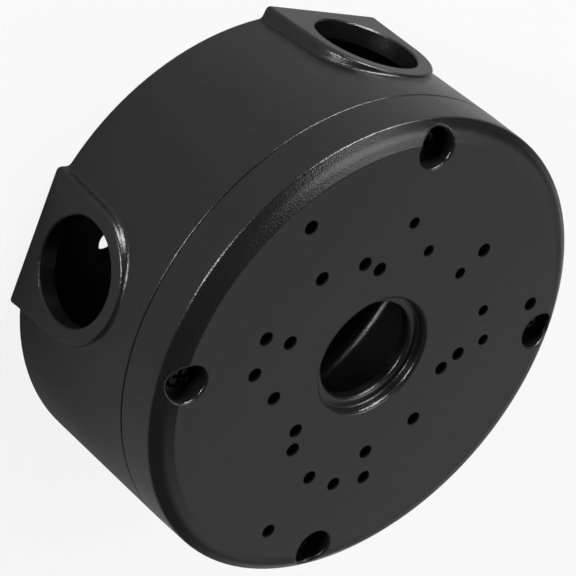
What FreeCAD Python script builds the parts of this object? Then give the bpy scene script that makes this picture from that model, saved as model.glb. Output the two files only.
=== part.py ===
import FreeCAD, Part
import math
import os

# Round camera junction box, in millimetres
# The back face lies in the plane z = 0 on the wall, and the cover faces +Z
# One cable entry points along +X and the other along +Y

# Overall form
box_radius = 69.0
box_depth = 63.0
cover_depth = 15.0
seam_rounding = 0.5

# Walls of the base
base_draft = 0.3
base_wall = 2.8
floor_thickness = 3.0
floor_corner_radius = 3.0
back_edge_rounding = 0.5
back_run_out = 4.0
wall_closing_azimuth = 225.0

# Rim of the base, with the groove for the seal
rim_width = 5.4
rim_height = 4.5
rim_taper = 2.6
groove_wall = 1.4
groove_width = 2.2
groove_depth = 2.8

# Seal ring, pressed by a tongue under the cover
seal_side_gap = 0.3
seal_rounding = 0.35
tongue_height = 0.9
tongue_side_gap = 0.05
tongue_band = 4.0
tongue_band_taper = 1.3

# Cable entries on the side wall, each with a flat pad round its hole
entry_azimuths = (0.0, 90.0)
entry_bore_radius = 14.5
entry_floor_gap = 2.1
entry_pad_margin = 4.3
entry_pad_flare = 3.5
entry_pad_proud = 0.9
entry_pad_thickness = 5.3
entry_pad_draft = 0.6
entry_side_rounding = 1.3
entry_crest_rounding = 0.5
entry_side_foot_rounding = 1.5
entry_crest_foot_rounding = 0.25
entry_rim_rounding = 0.4

# Cable hole and wall screw holes in the back
rear_hole_radius = 14.5
rear_collar_wall = 2.4
rear_collar_height = 2.0
wall_hole_radius = 3.7
wall_hole_circle = 46.0
wall_hole_count = 4

# Cover plate, with a crowned chamfer round it
chamfer_width = 6.25
chamfer_drop = 3.2
chamfer_crown = 0.55
crown_rounding = 6.4
face_edge_rounding = 1.2
cover_skirt_draft = 0.3
cover_edge_rounding = 1.0
cover_wall = 2.6
plate_thickness = 3.0

# Stepped cable hole in the middle of the cover
centre_bore_radius = 14.5
centre_ledge_width = 2.8
centre_ledge_thickness = 3.2
centre_recess_depth = 2.9
centre_recess_draft = 0.1
centre_recess_rounding = 1.2
centre_ledge_rounding = 0.4
centre_bore_rounding = 1.1
centre_cup_wall = 2.4

# Four screws that hold the cover, turned against the cable entries
screw_count = 4
screw_turn = 7.2
screw_inset = 8.0
screw_head_radius = 3.8
screw_head_height = 2.6
screw_head_edge = 1.2
screw_shank_radius = 1.9
screw_length = 14.0
screw_tip_length = 2.0
screw_tip_radius = 0.7
cross_arms = 4
cross_reach = 2.1
cross_width = 1.0
cross_depth = 1.7
cross_taper = 0.45

# Pockets in the cover and holes for these screws
pocket_depth = 7.0
pocket_clearance = 1.6
pocket_rounding = 0.7
pocket_wall = 1.8
screw_clearance = 0.35
pilot_clearance = 0.03
pilot_extra_depth = 0.8

# Screw bosses inside the base, short ones above the cable entries
boss_radius = 4.7
boss_end_wall = 1.2
boss_gusset_drop = 7.0
entry_boss_angle = 20.0

# Holes for fixing cameras of several makes, as (circle radius, angles from the first cover screw)
camera_hole_radius = 2.05
camera_hole_sets = (
    (55.0, (40, 160, 280)),
    (41.0, (75, 195, 315)),
    (40.0, (90, 180)),
    (37.5, (45, 165)),
    (32.1, (24, 75, 105, 144, 195, 225, 264)),
    (28.1, (15, 135, 255)),
)
small_camera_hole_radius = 1.7
small_camera_hole_sets = (
    (40.0, (0, 270)),
    (37.5, (285,)),
    (32.1, (315, 345)),
)
hole_boss_wall = 1.8
hole_boss_height = 4.5
cover_rib_thickness = 1.8
cover_rib_height = 4.0

# How far a cut reaches past the face it goes through, and how close a found edge lies to its place
cut_margin = 1.0
match_margin = 0.01
edge_samples = 5

# Sizes that follow
seam_z = box_depth - cover_depth
rim_inner_radius = box_radius - rim_width
wall_inner_radius = box_radius - base_wall
run_out_radius = box_radius + base_draft * (seam_z + back_run_out) / seam_z
groove_outer_radius = box_radius - groove_wall
groove_inner_radius = groove_outer_radius - groove_width
groove_floor_z = seam_z - groove_depth
tongue_outer_radius = groove_outer_radius - tongue_side_gap
tongue_inner_radius = groove_inner_radius + tongue_side_gap
tongue_z = seam_z - tongue_height
entry_crest_radius = entry_bore_radius + entry_pad_margin
entry_centre_z = floor_thickness + entry_floor_gap + entry_bore_radius
entry_pad_reach = box_radius + entry_pad_proud
entry_pad_root_x = entry_pad_reach - entry_pad_thickness
face_radius = box_radius - chamfer_width
plate_under_z = box_depth - plate_thickness
centre_recess_radius = centre_bore_radius + centre_ledge_width + centre_recess_draft
centre_ledge_z = box_depth - centre_recess_depth
centre_under_z = centre_ledge_z - centre_ledge_thickness
centre_cup_radius = centre_recess_radius + centre_cup_wall
screw_circle = box_radius - screw_inset
pocket_radius = screw_head_radius + pocket_clearance
pocket_floor_z = box_depth - pocket_depth
pilot_end_z = pocket_floor_z - screw_length - pilot_extra_depth
boss_end_z = pilot_end_z - boss_end_wall
up = FreeCAD.Vector(0, 0, 1)
origin = FreeCAD.Vector(0, 0, 0)


def polar(radius, azimuth, z=0.0):
    angle = math.radians(azimuth)
    return FreeCAD.Vector(radius * math.cos(angle), radius * math.sin(angle), z)


def spread(count, first=0.0):
    """Azimuths of so many places evenly round the axis."""
    return [first + index * 360.0 / count for index in range(count)]


def angle_between(first, second):
    return abs((first - second + 180.0) % 360.0 - 180.0)


def cylinder(radius, low_z, high_z, place=origin):
    return Part.makeCylinder(radius, high_z - low_z, FreeCAD.Vector(place.x, place.y, low_z), up)


def ring(inner_radius, outer_radius, low_z, high_z):
    return cylinder(outer_radius, low_z, high_z).cut(cylinder(inner_radius, low_z, high_z))


def rounded_profile(corners):
    """Face in the XZ plane through corners (radius, z, rounding), each corner with its own tangent arc."""
    points = [FreeCAD.Vector(radius, 0, z) for radius, z, rounding in corners]
    count = len(points)
    joins = []
    for index, corner in enumerate(points):
        rounding = corners[index][2]
        if rounding == 0:
            joins.append((corner, corner, corner))
            continue
        before = points[index - 1] - corner
        after = points[(index + 1) % count] - corner
        before.normalize()
        after.normalize()
        half_angle = before.getAngle(after) / 2
        middle_way = before + after
        middle_way.normalize()
        setback = rounding / math.tan(half_angle)
        bulge = rounding / math.sin(half_angle) - rounding
        joins.append((corner + before * setback, corner + middle_way * bulge, corner + after * setback))
    edges = []
    for index, (start, middle, end) in enumerate(joins):
        if start != end:
            edges.append(Part.Arc(start, middle, end).toShape())
        next_start = joins[(index + 1) % count][0]
        edges.append(Part.LineSegment(end, next_start).toShape())
    return Part.Face(Part.Wire(edges))


def turned(corners):
    return rounded_profile(corners).revolve(origin, up, 360)


def single(shape):
    """The one solid of a boolean result, with leftover seams joined."""
    return shape.removeSplitter().Solids[0]


# Base: a moulded bucket with a collar round the cable hole of its back, drawn out past the back plane
def base_shell():
    rim_low_z = seam_z - rim_height
    collar_radius = rear_hole_radius + rear_collar_wall
    collar_z = floor_thickness + rear_collar_height
    return turned([
        (rear_hole_radius, -back_run_out, 0),
        (run_out_radius, -back_run_out, 0),
        (box_radius, seam_z, seam_rounding),
        (rim_inner_radius, seam_z, seam_rounding),
        (rim_inner_radius, rim_low_z, 0),
        (wall_inner_radius, rim_low_z - rim_taper, 0),
        (wall_inner_radius, floor_thickness, floor_corner_radius),
        (collar_radius, floor_thickness, 0),
        (collar_radius, collar_z, seam_rounding),
        (rear_hole_radius, collar_z, seam_rounding),
    ])


def entry_pad_side(crest_radius, z):
    """Half width of an entry pad below its round top, where its sides flare towards the back."""
    flare = math.radians(entry_pad_flare)
    top_z = entry_centre_z + crest_radius * math.sin(flare)
    return crest_radius * math.cos(flare) + (top_z - z) * math.tan(flare)


# Outline of one entry pad in an upright plane: square at the back of the box, round towards the cover
def entry_pad_outline(x, crest_radius):
    side_z = entry_centre_z + crest_radius * math.sin(math.radians(entry_pad_flare))
    top = entry_pad_side(crest_radius, side_z)
    low = entry_pad_side(crest_radius, -back_run_out)
    shoulder = crest_radius / math.sqrt(2)
    low_left = FreeCAD.Vector(x, -low, -back_run_out)
    low_right = FreeCAD.Vector(x, low, -back_run_out)
    high_right = FreeCAD.Vector(x, top, side_z)
    high_left = FreeCAD.Vector(x, -top, side_z)
    crest = FreeCAD.Vector(x, 0, entry_centre_z + crest_radius)
    right_shoulder = FreeCAD.Vector(x, shoulder, entry_centre_z + shoulder)
    left_shoulder = FreeCAD.Vector(x, -shoulder, entry_centre_z + shoulder)
    return Part.Wire([
        Part.LineSegment(low_left, low_right).toShape(),
        Part.LineSegment(low_right, high_right).toShape(),
        Part.Arc(high_right, right_shoulder, crest).toShape(),
        Part.Arc(crest, left_shoulder, high_left).toShape(),
        Part.LineSegment(high_left, low_left).toShape(),
    ])


def round_edges(shape, numbers, sideways, side_rounding, crest_rounding):
    """Round the numbered edges round an entry pad, less and less towards the crest of the pad."""
    fillets = []
    for number in numbers:
        points = shape.Edges[number - 1].discretize(edge_samples)
        at_crest = [abs(p.dot(sideways)) < match_margin for p in (points[0], points[-1])]
        fillets.append((number, *[crest_rounding if crest else side_rounding for crest in at_crest]))
    document = FreeCAD.newDocument()
    body = document.addObject("Part::Feature", "body")
    body.Shape = shape
    rounded = document.addObject("Part::Fillet", "rounded")
    rounded.Base = body
    rounded.Edges = fillets
    document.recompute()
    result = rounded.Shape.copy()
    FreeCAD.closeDocument(document.Name)
    return result


# D-shaped pad of one cable entry, with sloping sides
def entry_pad(azimuth):
    pad = Part.makeLoft([
        entry_pad_outline(entry_pad_root_x, entry_crest_radius + entry_pad_draft),
        entry_pad_outline(entry_pad_reach, entry_crest_radius),
    ], True, True)
    numbers = [
        number for number, edge in enumerate(pad.Edges, 1)
        if edge.BoundBox.XMin > entry_pad_reach - match_margin and edge.BoundBox.ZLength > match_margin
    ]
    pad = round_edges(pad, numbers, polar(1, 90), entry_side_rounding, entry_crest_rounding)
    pad.rotate(origin, up, azimuth)
    return pad


# Hollow corner where an entry pad meets the round wall: wide beside the pad, and narrow at its crest,
# where the pad hardly stands proud
def round_pad_foot(base, azimuth):
    outward = polar(1, azimuth)
    sideways = polar(1, azimuth + 90)
    root_radius = entry_crest_radius + entry_pad_draft
    root_side = entry_pad_side(root_radius, -back_run_out)
    numbers = []
    for number, edge in enumerate(base.Edges, 1):
        points = edge.discretize(edge_samples)
        radii = [math.hypot(p.x, p.y) for p in points]
        on_wall = min(radii) > box_radius - match_margin and max(radii) < run_out_radius + match_margin
        beside = all(abs(p.dot(sideways)) < root_side for p in points)
        outside = all(p.dot(outward) > 0 for p in points)
        upright = edge.BoundBox.ZLength > match_margin
        if on_wall and beside and outside and upright and edge.BoundBox.ZMax < entry_centre_z + root_radius:
            numbers.append(number)
    return round_edges(base, numbers, sideways, entry_side_foot_rounding, entry_crest_foot_rounding)


# Flat back, with a rounded edge round the wall and the pads
def level_back(base):
    corner = FreeCAD.Vector(-entry_pad_reach, -entry_pad_reach, -back_run_out - cut_margin)
    width = 2 * (entry_pad_reach + cut_margin)
    base = single(base.cut(Part.makeBox(width, width, back_run_out + cut_margin, corner)))
    edges = []
    for edge in base.Edges:
        points = edge.discretize(edge_samples)
        outer = all(math.hypot(p.x, p.y) > wall_inner_radius for p in points)
        if outer and all(abs(p.z) < match_margin for p in points):
            edges.append(edge)
    return base.makeFillet(back_edge_rounding, edges)


# Hole of one cable entry through pad and wall, with a small bevel at its mouth
def entry_bore(azimuth):
    outward = polar(1, azimuth)
    wall_x = math.sqrt(wall_inner_radius ** 2 - entry_bore_radius ** 2)
    inner_x = min(wall_x, entry_pad_root_x) - cut_margin
    mouth_x = entry_pad_reach - entry_rim_rounding
    height = up * entry_centre_z
    bore = Part.makeCylinder(
        entry_bore_radius, entry_pad_reach + cut_margin - inner_x, outward * inner_x + height, outward
    )
    mouth = Part.makeCone(
        entry_bore_radius, entry_bore_radius + entry_rim_rounding, entry_rim_rounding,
        outward * mouth_x + height, outward
    )
    return bore.fuse(mouth)


# Screw boss on the side wall: down to the floor, or short above a cable entry so that the entry stays free
def screw_boss(azimuth):
    reach = box_radius - base_wall / 2 - screw_circle
    root_z = floor_thickness / 2
    post = cylinder(boss_radius, root_z, seam_z)
    web_corner = FreeCAD.Vector(0, -boss_radius, root_z)
    boss = post.fuse(Part.makeBox(reach, 2 * boss_radius, seam_z - root_z, web_corner))
    if any(angle_between(azimuth, entry) < entry_boss_angle for entry in entry_azimuths):
        side = Part.makePolygon([
            FreeCAD.Vector(-boss_radius, -boss_radius, boss_end_z),
            FreeCAD.Vector(-boss_radius, -boss_radius, seam_z),
            FreeCAD.Vector(reach, -boss_radius, seam_z),
            FreeCAD.Vector(reach, -boss_radius, boss_end_z - boss_gusset_drop),
            FreeCAD.Vector(-boss_radius, -boss_radius, boss_end_z),
        ])
        boss = boss.common(Part.Face(side).extrude(FreeCAD.Vector(0, 2 * boss_radius, 0)))
    boss.translate(FreeCAD.Vector(screw_circle, 0, 0))
    boss.rotate(origin, up, azimuth)
    return boss


def make_base():
    base = base_shell()
    base.rotate(origin, up, wall_closing_azimuth)
    for azimuth in entry_azimuths:
        base = round_pad_foot(single(base.fuse(entry_pad(azimuth))), azimuth)
    base = level_back(base)
    for azimuth in spread(screw_count, screw_turn):
        base = base.fuse(screw_boss(azimuth))
    base = single(base)
    cuts = [entry_bore(azimuth) for azimuth in entry_azimuths]
    cuts.append(ring(groove_inner_radius, groove_outer_radius, groove_floor_z, seam_z + cut_margin))
    for azimuth in spread(screw_count, screw_turn):
        place = polar(screw_circle, azimuth)
        cuts.append(cylinder(screw_shank_radius + pilot_clearance, pilot_end_z, seam_z + cut_margin, place))
    for azimuth in spread(wall_hole_count):
        place = polar(wall_hole_circle, azimuth)
        cuts.append(cylinder(wall_hole_radius, -cut_margin, floor_thickness + cut_margin, place))
    for cut in cuts:
        base = base.cut(cut)
    return single(base)


# Seal ring of rubber in the groove of the base
def make_seal_ring():
    inner = groove_inner_radius + seal_side_gap
    outer = groove_outer_radius - seal_side_gap
    return single(turned([
        (inner, groove_floor_z, seal_rounding),
        (outer, groove_floor_z, seal_rounding),
        (outer, tongue_z, seal_rounding),
        (inner, tongue_z, seal_rounding),
    ]))


# Cover: outline of its outside, from the seam over the crowned chamfer to the edge of the flat face
def cover_corners():
    edge_radius = box_radius - cover_skirt_draft
    slope = math.atan2(chamfer_drop, edge_radius - face_radius)
    crown_radius = (edge_radius + face_radius) / 2 + chamfer_crown * math.sin(slope)
    crown_z = box_depth - chamfer_drop / 2 + chamfer_crown * math.cos(slope)
    return [
        (box_radius, seam_z, seam_rounding),
        (edge_radius, box_depth - chamfer_drop, cover_edge_rounding),
        (crown_radius, crown_z, crown_rounding),
        (face_radius, box_depth, face_edge_rounding),
    ]


# Moulded cover of one wall all over, with the stepped hole in the middle and the tongue under its edge
def cover_shell():
    skirt_inner_radius = box_radius - cover_wall
    slope_inset = cover_wall / 2
    return turned(cover_corners() + [
        (centre_recess_radius, box_depth, centre_recess_rounding),
        (centre_recess_radius - centre_recess_draft, centre_ledge_z, centre_ledge_rounding),
        (centre_bore_radius, centre_ledge_z, centre_bore_rounding),
        (centre_bore_radius, centre_under_z, 0),
        (centre_cup_radius, centre_under_z, 0),
        (centre_cup_radius, plate_under_z, 0),
        (face_radius - slope_inset, plate_under_z, 0),
        (skirt_inner_radius, plate_under_z - chamfer_drop + slope_inset, 0),
        (skirt_inner_radius, seam_z + tongue_band, 0),
        (tongue_inner_radius, seam_z + tongue_band - tongue_band_taper, 0),
        (tongue_inner_radius, tongue_z, 0),
        (tongue_outer_radius, tongue_z, 0),
        (tongue_outer_radius, seam_z, 0),
    ])


# Wall round one screw pocket, as far as it lies inside the cover's outside
def pocket_pillar(azimuth):
    envelope = turned(cover_corners() + [(0, box_depth, 0), (0, seam_z, 0)])
    pillar = cylinder(pocket_radius + pocket_wall, seam_z, box_depth, polar(screw_circle, azimuth))
    return pillar.common(envelope)


# Rib under the plate from the cable hole to one screw pocket
def cover_rib(azimuth):
    start_x = centre_cup_radius - centre_cup_wall / 2
    corner = FreeCAD.Vector(start_x, -cover_rib_thickness / 2, plate_under_z - cover_rib_height)
    rib = Part.makeBox(screw_circle - pocket_radius - start_x, cover_rib_thickness, cover_rib_height, corner)
    rib.rotate(origin, up, azimuth)
    return rib


def camera_holes():
    """Place and radius of every camera hole."""
    holes = []
    for sets, radius in (
        (camera_hole_sets, camera_hole_radius),
        (small_camera_hole_sets, small_camera_hole_radius),
    ):
        for circle, angles in sets:
            holes += [(polar(circle, angle + screw_turn), radius) for angle in angles]
    return holes


# Rounded mouths of the screw pockets, on the face and on the chamfer
def round_pocket_mouths(cover):
    axes = [polar(screw_circle, azimuth) for azimuth in spread(screw_count, screw_turn)]
    edges = []
    for edge in cover.Edges:
        points = edge.discretize(edge_samples)
        high = edge.BoundBox.ZMin > box_depth - chamfer_drop
        on_mouth = any(
            all(abs(math.hypot(p.x - axis.x, p.y - axis.y) - pocket_radius) < match_margin for p in points)
            for axis in axes
        )
        if high and on_mouth:
            edges.append(edge)
    return cover.makeFillet(pocket_rounding, edges)


def make_cover():
    cover = cover_shell()
    screw_places = [polar(screw_circle, azimuth) for azimuth in spread(screw_count, screw_turn)]
    for azimuth in spread(screw_count, screw_turn):
        cover = cover.fuse([pocket_pillar(azimuth), cover_rib(azimuth)])
    for place, radius in camera_holes():
        cover = cover.fuse(
            cylinder(radius + hole_boss_wall, plate_under_z - hole_boss_height, plate_under_z, place)
        )
    cover = single(cover)
    for place in screw_places:
        cover = cover.cut(cylinder(pocket_radius, pocket_floor_z, box_depth + cut_margin, place))
    cover = round_pocket_mouths(cover)
    for place, radius in camera_holes():
        cover = cover.cut(cylinder(radius, seam_z, box_depth + cut_margin, place))
    for place in screw_places:
        cover = cover.cut(cylinder(screw_shank_radius + screw_clearance, tongue_z, box_depth, place))
    return single(cover)


# Outline of the cross recess in a screw head at one height
def cross_outline(reach, width, z):
    half = width / 2
    quarter = [(reach, -half), (reach, half), (half, half)]
    points = []
    for azimuth in spread(cross_arms):
        for x, y in quarter:
            point = FreeCAD.Vector(x, y, z)
            points.append(FreeCAD.Rotation(up, azimuth).multVec(point))
    return Part.makePolygon(points + [points[0]])


# Cover screw: black pan head with a cross recess, seated on the floor of its pocket
def make_screw():
    tip_z = pocket_floor_z - screw_length
    head_z = pocket_floor_z + screw_head_height
    screw = turned([
        (0, tip_z, 0),
        (screw_tip_radius, tip_z, 0),
        (screw_shank_radius, tip_z + screw_tip_length, 0),
        (screw_shank_radius, pocket_floor_z, 0),
        (screw_head_radius, pocket_floor_z, 0),
        (screw_head_radius, head_z, screw_head_edge),
        (0, head_z, 0),
    ])
    cross = Part.makeLoft([
        cross_outline(cross_reach, cross_width, head_z + match_margin),
        cross_outline(cross_reach - cross_taper, cross_width - cross_taper, head_z - cross_depth),
    ], True, True)
    return single(screw.cut(cross))


def make_cover_screws():
    screws = []
    for azimuth in spread(screw_count, screw_turn):
        screw = make_screw()
        screw.translate(FreeCAD.Vector(screw_circle, 0, 0))
        screw.rotate(origin, up, azimuth)
        screws.append(screw)
    return Part.makeCompound(screws)


nodes = {
    "base": make_base(),
    "cover": make_cover(),
    "seal_ring": make_seal_ring(),
    "cover_screws": make_cover_screws(),
}

os.makedirs("parts", exist_ok=True)
for name, shape in nodes.items():
    shape.exportStep("parts/" + name + ".step")
    print(name, len(shape.Solids), "solids", round(shape.Volume, 1), "mm3", "valid", shape.isValid())
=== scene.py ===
import bpy
import math
from mathutils import Matrix, Vector

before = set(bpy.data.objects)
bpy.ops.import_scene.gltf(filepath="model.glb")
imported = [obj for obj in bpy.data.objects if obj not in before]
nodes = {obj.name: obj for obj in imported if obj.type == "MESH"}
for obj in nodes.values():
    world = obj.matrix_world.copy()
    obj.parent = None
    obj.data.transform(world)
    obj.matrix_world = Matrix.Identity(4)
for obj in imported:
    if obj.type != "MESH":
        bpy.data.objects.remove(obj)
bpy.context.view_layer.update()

# Camera of the photograph: a long lens that looks down on the cover from between the two side
# entries, held turned so that the cover faces the lower right of the picture.
camera_data = bpy.data.cameras.new("photo_camera")
camera_data.sensor_width = 36.0
camera_data.lens = 169.82
camera_data.clip_start = 0.05
camera_data.clip_end = 20.0
camera = bpy.data.objects.new("photo_camera", camera_data)
camera_place = Vector((0.25986, 0.50371, 0.49187))
picture_right = Vector((0.34571, -0.72728, 0.59291))
picture_up = Vector((0.86872, 0.00922, -0.49522))
towards_camera = picture_right.cross(picture_up)
camera_turn = Matrix((picture_right, picture_up, towards_camera)).transposed().to_4x4()
camera.matrix_world = Matrix.Translation(camera_place) @ camera_turn
bpy.context.scene.collection.objects.link(camera)
bpy.context.scene.camera = camera
bpy.context.scene.view_settings.view_transform = "Standard"


# Studio floor: a wide sheet of matt white paper under the box, which lies on its flat back.
# The camera sees most of it as plain white; the rest of it keeps a soft shadow close to the box.
floor_half = 6.0
floor_drop = 0.0002
white_share = 0.80
white_strength = 1.08
floor_corners = [
    (-floor_half, -floor_half, 0), (floor_half, -floor_half, 0),
    (floor_half, floor_half, 0), (-floor_half, floor_half, 0),
]
floor_mesh = bpy.data.meshes.new("studio_floor")
floor_mesh.from_pydata(floor_corners, [], [(0, 1, 2, 3)])
floor = bpy.data.objects.new("studio_floor", floor_mesh)
floor.location.z = -floor_drop
bpy.context.scene.collection.objects.link(floor)

paper = bpy.data.materials.new("studio_paper")
paper.use_nodes = True
tree = paper.node_tree
shader = tree.nodes["Principled BSDF"]
shader.inputs["Base Color"].default_value = (0.54, 0.54, 0.54, 1)
shader.inputs["Roughness"].default_value = 0.9
shader.inputs["Specular IOR Level"].default_value = 0.0
glow = tree.nodes.new("ShaderNodeEmission")
glow.inputs["Strength"].default_value = white_strength
seen = tree.nodes.new("ShaderNodeLightPath")
camera_share = tree.nodes.new("ShaderNodeMath")
camera_share.operation = "MULTIPLY"
camera_share.inputs[1].default_value = white_share
blend = tree.nodes.new("ShaderNodeMixShader")
tree.links.new(seen.outputs["Is Camera Ray"], camera_share.inputs[0])
tree.links.new(camera_share.outputs[0], blend.inputs[0])
tree.links.new(shader.outputs[0], blend.inputs[1])
tree.links.new(glow.outputs[0], blend.inputs[2])
tree.links.new(blend.outputs[0], tree.nodes["Material Output"].inputs["Surface"])
floor_mesh.materials.append(paper)


# Studio light: a weak even surround, a main softbox high over the upper side of the box, two low
# strips that draw the bright lines on its edges, and a wide panel that the flat cover mirrors.
world = bpy.data.worlds.new("studio_surround")
world.use_nodes = True
surround = world.node_tree.nodes["Background"]
surround.inputs["Color"].default_value = (1, 1, 1, 1)
surround.inputs["Strength"].default_value = 0.09
bpy.context.scene.world = world
box_middle = Vector((0, 0, 0.03))


def hang_lamp(name, from_azimuth, from_height, distance, width, length, brightness):
    """Softbox that shines on the box from that azimuth and height angle, both in degrees."""
    lamp_data = bpy.data.lights.new(name, "AREA")
    lamp_data.shape = "RECTANGLE"
    lamp_data.size = width
    lamp_data.size_y = length
    lamp_data.energy = brightness * math.pi * width * length
    lamp = bpy.data.objects.new(name, lamp_data)
    azimuth = math.radians(from_azimuth)
    height = math.radians(from_height)
    direction = Vector((
        math.cos(height) * math.cos(azimuth), math.cos(height) * math.sin(azimuth), math.sin(height)
    ))
    lamp.location = direction * distance + box_middle
    lamp.rotation_euler = direction.to_track_quat("Z", "Y").to_euler()
    bpy.context.scene.collection.objects.link(lamp)


hang_lamp(
    "main_softbox", from_azimuth=-36, from_height=58, distance=2.4,
    width=1.60, length=1.15, brightness=4.1,
)
hang_lamp(
    "upper_strip", from_azimuth=-1, from_height=10, distance=2.4,
    width=1.60, length=0.46, brightness=32.0,
)
hang_lamp(
    "left_strip", from_azimuth=76, from_height=9, distance=2.4,
    width=0.60, length=0.60, brightness=40.0,
)
hang_lamp(
    "back_panel", from_azimuth=-118, from_height=38, distance=2.6,
    width=3.80, length=2.00, brightness=0.47,
)


# Base: the round bucket with its two flat entry pads, injection moulded in one piece in black
# weather-proof plastic. The tool surface leaves it satin, with a very fine grain.
moulded = bpy.data.node_groups.new("moulded_surface", "ShaderNodeTree")
for socket_name, in_out, socket_type in [
    ("Place", "INPUT", "NodeSocketVector"),
    ("Grain per metre", "INPUT", "NodeSocketFloat"),
    ("Colour", "INPUT", "NodeSocketColor"),
    ("Colour in patches", "INPUT", "NodeSocketColor"),
    ("Gloss low", "INPUT", "NodeSocketFloat"),
    ("Gloss high", "INPUT", "NodeSocketFloat"),
    ("Colour", "OUTPUT", "NodeSocketColor"),
    ("Roughness", "OUTPUT", "NodeSocketFloat"),
    ("Grain", "OUTPUT", "NodeSocketFloat"),
]:
    moulded.interface.new_socket(socket_name, in_out=in_out, socket_type=socket_type)
group_in = moulded.nodes.new("NodeGroupInput")
group_out = moulded.nodes.new("NodeGroupOutput")
grain = moulded.nodes.new("ShaderNodeTexNoise")
grain.inputs["Detail"].default_value = 2.0
grain.inputs["Roughness"].default_value = 0.6
patches = moulded.nodes.new("ShaderNodeTexNoise")
patches.inputs["Scale"].default_value = 38.0
patches.inputs["Detail"].default_value = 3.0
tint = moulded.nodes.new("ShaderNodeMix")
tint.data_type = "RGBA"
gloss = moulded.nodes.new("ShaderNodeMapRange")
gloss.inputs["From Min"].default_value = 0.3
gloss.inputs["From Max"].default_value = 0.7
moulded.links.new(group_in.outputs["Place"], grain.inputs["Vector"])
moulded.links.new(group_in.outputs["Place"], patches.inputs["Vector"])
moulded.links.new(group_in.outputs["Grain per metre"], grain.inputs["Scale"])
moulded.links.new(group_in.outputs["Colour"], tint.inputs["A"])
moulded.links.new(group_in.outputs["Colour in patches"], tint.inputs["B"])
moulded.links.new(patches.outputs["Fac"], tint.inputs["Factor"])
moulded.links.new(patches.outputs["Fac"], gloss.inputs["Value"])
moulded.links.new(group_in.outputs["Gloss low"], gloss.inputs["To Min"])
moulded.links.new(group_in.outputs["Gloss high"], gloss.inputs["To Max"])
moulded.links.new(tint.outputs["Result"], group_out.inputs["Colour"])
moulded.links.new(gloss.outputs["Result"], group_out.inputs["Roughness"])
moulded.links.new(grain.outputs["Fac"], group_out.inputs["Grain"])


def moulded_finish(
    name, colour, patch_colour, smooth, rough, grain_per_metre, grain_height, ior=1.5, metallic=0.0
):
    """Fine-grained surface with its own colours, gloss and grain; grain_height is in metres."""
    material = bpy.data.materials.new(name)
    material.use_nodes = True
    tree = material.node_tree
    shader = tree.nodes["Principled BSDF"]
    shader.inputs["IOR"].default_value = ior
    shader.inputs["Metallic"].default_value = metallic
    place = tree.nodes.new("ShaderNodeTexCoord")
    surface = tree.nodes.new("ShaderNodeGroup")
    surface.node_tree = moulded
    surface.inputs["Grain per metre"].default_value = grain_per_metre
    surface.inputs["Colour"].default_value = (*colour, 1)
    surface.inputs["Colour in patches"].default_value = (*patch_colour, 1)
    surface.inputs["Gloss low"].default_value = smooth
    surface.inputs["Gloss high"].default_value = rough
    bump = tree.nodes.new("ShaderNodeBump")
    bump.inputs["Strength"].default_value = 1.0
    bump.inputs["Distance"].default_value = grain_height
    tree.links.new(place.outputs["Object"], surface.inputs["Place"])
    tree.links.new(surface.outputs["Colour"], shader.inputs["Base Color"])
    tree.links.new(surface.outputs["Roughness"], shader.inputs["Roughness"])
    tree.links.new(surface.outputs["Grain"], bump.inputs["Height"])
    tree.links.new(bump.outputs["Normal"], shader.inputs["Normal"])
    return material


def finish_node(node_name, material):
    """Puts the material on every slot of a CAD node."""
    for slot in nodes[node_name].material_slots:
        slot.material = material


finish_node("base", moulded_finish(
    "base_plastic", colour=(0.0050, 0.0050, 0.0052), patch_colour=(0.0075, 0.0074, 0.0074),
    smooth=0.20, rough=0.26, grain_per_metre=2200.0, grain_height=0.00008,
))


# Cover: the thick moulded lid of the same black plastic, with a crowned chamfer, a stepped cable
# hole in the middle, camera holes and four screw pockets. It is a touch glossier than the base.
finish_node("cover", moulded_finish(
    "cover_plastic", colour=(0.0050, 0.0050, 0.0052), patch_colour=(0.0075, 0.0074, 0.0074),
    smooth=0.19, rough=0.25, grain_per_metre=2200.0, grain_height=0.00008,
))


# Seal ring: a soft black rubber ring pressed into the groove of the base, cut from a moulded
# profile. It is matt and lies out of sight between base and cover.
finish_node("seal_ring", moulded_finish(
    "seal_rubber", colour=(0.010, 0.010, 0.010), patch_colour=(0.018, 0.018, 0.017),
    smooth=0.62, rough=0.78, grain_per_metre=900.0, grain_height=0.00002, ior=1.45,
))


# Cover screws: four pan-head screws of steel with a black oxide coat, driven into the bosses of
# the base. They sit deep in their pockets, where only their heads catch some light.
finish_node("cover_screws", moulded_finish(
    "screw_black_oxide", colour=(0.010, 0.010, 0.011), patch_colour=(0.020, 0.019, 0.019),
    smooth=0.16, rough=0.26, grain_per_metre=1800.0, grain_height=0.00001, metallic=1.0,
))
